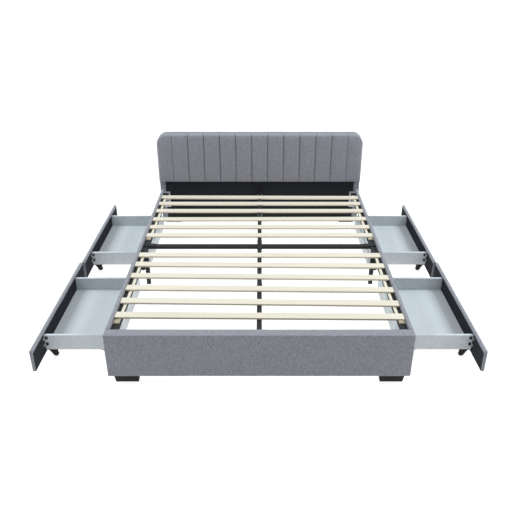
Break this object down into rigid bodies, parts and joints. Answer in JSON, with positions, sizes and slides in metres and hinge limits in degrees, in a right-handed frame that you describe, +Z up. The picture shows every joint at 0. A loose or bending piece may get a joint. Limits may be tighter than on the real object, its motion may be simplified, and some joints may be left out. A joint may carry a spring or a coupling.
{
  "type": "platform bed with storage drawers",
  "caption": "Upholstered platform bed with a channelled headboard, slatted base and pull-out storage drawers on casters.",
  "frame": {"origin": "on the floor, on the bed's centre line, half way along its length", "axes": "+X to the right seen from the foot end, +Y towards the headboard, +Z up"},
  "size_m": [2.433, 2.16, 0.769],
  "materials": {
    "upholstery": "grey linen weave",
    "black_cloth": "black dust cloth over board",
    "black_steel": "satin black powder coat",
    "slat_wood": "pale laminated wood",
    "webbing": "beige webbing",
    "black_plastic": "matt black",
    "zinc": "zinc plated",
    "dark_bolt": "black oxide",
    "drawer_board": "pale grey linen-look melamine",
    "caster_housing": "matt black moulding",
    "caster_rubber": "black moulded wheel"
  },
  "bodies": {
    "frame": {"headboard_core": "upholstery", "headboard_padding": "upholstery", "headboard_posts": "upholstery", "headboard_lower_panel": "black_cloth", "headboard_feet": "black_plastic", "footboard": "upholstery", "footboard_feet": "black_plastic", "side_rail_left": "upholstery", "side_rail_right": "upholstery", "ledger_left": "black_steel", "ledger_right": "black_steel", "slats_head": "slat_wood", "slats_foot": "slat_wood", "slat_straps_head": "webbing", "slat_straps_foot": "webbing", "center_beam_head": "black_steel", "center_beam_foot": "black_steel", "cross_beam": "black_steel", "side_legs": "black_steel", "center_leg": "black_steel", "leg_glides": "black_plastic", "frame_brackets": "zinc", "beam_plates": "black_steel", "frame_bolts": "dark_bolt"},
    "drawer_foot_left": {"drawer_foot_left_front": "upholstery", "drawer_foot_left_side_near": "drawer_board", "drawer_foot_left_side_far": "drawer_board", "drawer_foot_left_back": "drawer_board", "drawer_foot_left_bottom": "drawer_board", "drawer_foot_left_corner_braces": "zinc", "drawer_foot_left_caster_forks": "caster_housing"},
    "drawer_foot_left_outer_casters": {"drawer_foot_left_outer_wheels": "caster_rubber"},
    "drawer_foot_left_inner_casters": {"drawer_foot_left_inner_wheels": "caster_rubber"},
    "drawer_head_left": {"drawer_head_left_front": "upholstery", "drawer_head_left_side_near": "drawer_board", "drawer_head_left_side_far": "drawer_board", "drawer_head_left_back": "drawer_board", "drawer_head_left_bottom": "drawer_board", "drawer_head_left_corner_braces": "zinc", "drawer_head_left_caster_forks": "caster_housing"},
    "drawer_head_left_outer_casters": {"drawer_head_left_outer_wheels": "caster_rubber"},
    "drawer_head_left_inner_casters": {"drawer_head_left_inner_wheels": "caster_rubber"},
    "drawer_foot_right": {"drawer_foot_right_front": "upholstery", "drawer_foot_right_side_near": "drawer_board", "drawer_foot_right_side_far": "drawer_board", "drawer_foot_right_back": "drawer_board", "drawer_foot_right_bottom": "drawer_board", "drawer_foot_right_corner_braces": "zinc", "drawer_foot_right_caster_forks": "caster_housing"},
    "drawer_foot_right_outer_casters": {"drawer_foot_right_outer_wheels": "caster_rubber"},
    "drawer_foot_right_inner_casters": {"drawer_foot_right_inner_wheels": "caster_rubber"},
    "drawer_head_right": {"drawer_head_right_front": "upholstery", "drawer_head_right_side_near": "drawer_board", "drawer_head_right_side_far": "drawer_board", "drawer_head_right_back": "drawer_board", "drawer_head_right_bottom": "drawer_board", "drawer_head_right_corner_braces": "zinc", "drawer_head_right_caster_forks": "caster_housing"},
    "drawer_head_right_outer_casters": {"drawer_head_right_outer_wheels": "caster_rubber"},
    "drawer_head_right_inner_casters": {"drawer_head_right_inner_wheels": "caster_rubber"}
  },
  "joints": [
    {"name": "drawer_foot_left_slide", "type": "slide", "parent": "frame", "child": "drawer_foot_left", "axis": [-1, 0, 0], "range_m": [-0.421, 0.05]},
    {"name": "drawer_foot_left_outer_roll", "type": "hinge", "parent": "drawer_foot_left", "child": "drawer_foot_left_outer_casters", "pos_m": [-1.156, -0.5115, 0.016], "axis": [0, -1, 0], "continuous": true},
    {"name": "drawer_foot_left_inner_roll", "type": "hinge", "parent": "drawer_foot_left", "child": "drawer_foot_left_inner_casters", "pos_m": [-0.849, -0.5115, 0.016], "axis": [0, -1, 0], "continuous": true},
    {"name": "drawer_head_left_slide", "type": "slide", "parent": "frame", "child": "drawer_head_left", "axis": [-1, 0, 0], "range_m": [-0.408, 0.05]},
    {"name": "drawer_head_left_outer_roll", "type": "hinge", "parent": "drawer_head_left", "child": "drawer_head_left_outer_casters", "pos_m": [-1.143, 0.5055, 0.016], "axis": [0, -1, 0], "continuous": true},
    {"name": "drawer_head_left_inner_roll", "type": "hinge", "parent": "drawer_head_left", "child": "drawer_head_left_inner_casters", "pos_m": [-0.836, 0.5055, 0.016], "axis": [0, -1, 0], "continuous": true},
    {"name": "drawer_foot_right_slide", "type": "slide", "parent": "frame", "child": "drawer_foot_right", "axis": [1, 0, 0], "range_m": [-0.412, 0.05]},
    {"name": "drawer_foot_right_outer_roll", "type": "hinge", "parent": "drawer_foot_right", "child": "drawer_foot_right_outer_casters", "pos_m": [1.147, -0.5115, 0.016], "axis": [0, 1, 0], "continuous": true},
    {"name": "drawer_foot_right_inner_roll", "type": "hinge", "parent": "drawer_foot_right", "child": "drawer_foot_right_inner_casters", "pos_m": [0.84, -0.5115, 0.016], "axis": [0, 1, 0], "continuous": true},
    {"name": "drawer_head_right_slide", "type": "slide", "parent": "frame", "child": "drawer_head_right", "axis": [1, 0, 0], "range_m": [-0.4, 0.05]},
    {"name": "drawer_head_right_outer_roll", "type": "hinge", "parent": "drawer_head_right", "child": "drawer_head_right_outer_casters", "pos_m": [1.135, 0.5055, 0.016], "axis": [0, 1, 0], "continuous": true},
    {"name": "drawer_head_right_inner_roll", "type": "hinge", "parent": "drawer_head_right", "child": "drawer_head_right_inner_casters", "pos_m": [0.828, 0.5055, 0.016], "axis": [0, 1, 0], "continuous": true}
  ],
  "couplings": [
    {"joint": "drawer_foot_left_outer_roll", "follows": "drawer_foot_left_slide", "rad_per_m": 62.5},
    {"joint": "drawer_foot_left_inner_roll", "follows": "drawer_foot_left_slide", "rad_per_m": 62.5},
    {"joint": "drawer_head_left_outer_roll", "follows": "drawer_head_left_slide", "rad_per_m": 62.5},
    {"joint": "drawer_head_left_inner_roll", "follows": "drawer_head_left_slide", "rad_per_m": 62.5},
    {"joint": "drawer_foot_right_outer_roll", "follows": "drawer_foot_right_slide", "rad_per_m": 62.5},
    {"joint": "drawer_foot_right_inner_roll", "follows": "drawer_foot_right_slide", "rad_per_m": 62.5},
    {"joint": "drawer_head_right_outer_roll", "follows": "drawer_head_right_slide", "rad_per_m": 62.5},
    {"joint": "drawer_head_right_inner_roll", "follows": "drawer_head_right_slide", "rad_per_m": 62.5}
  ]
}
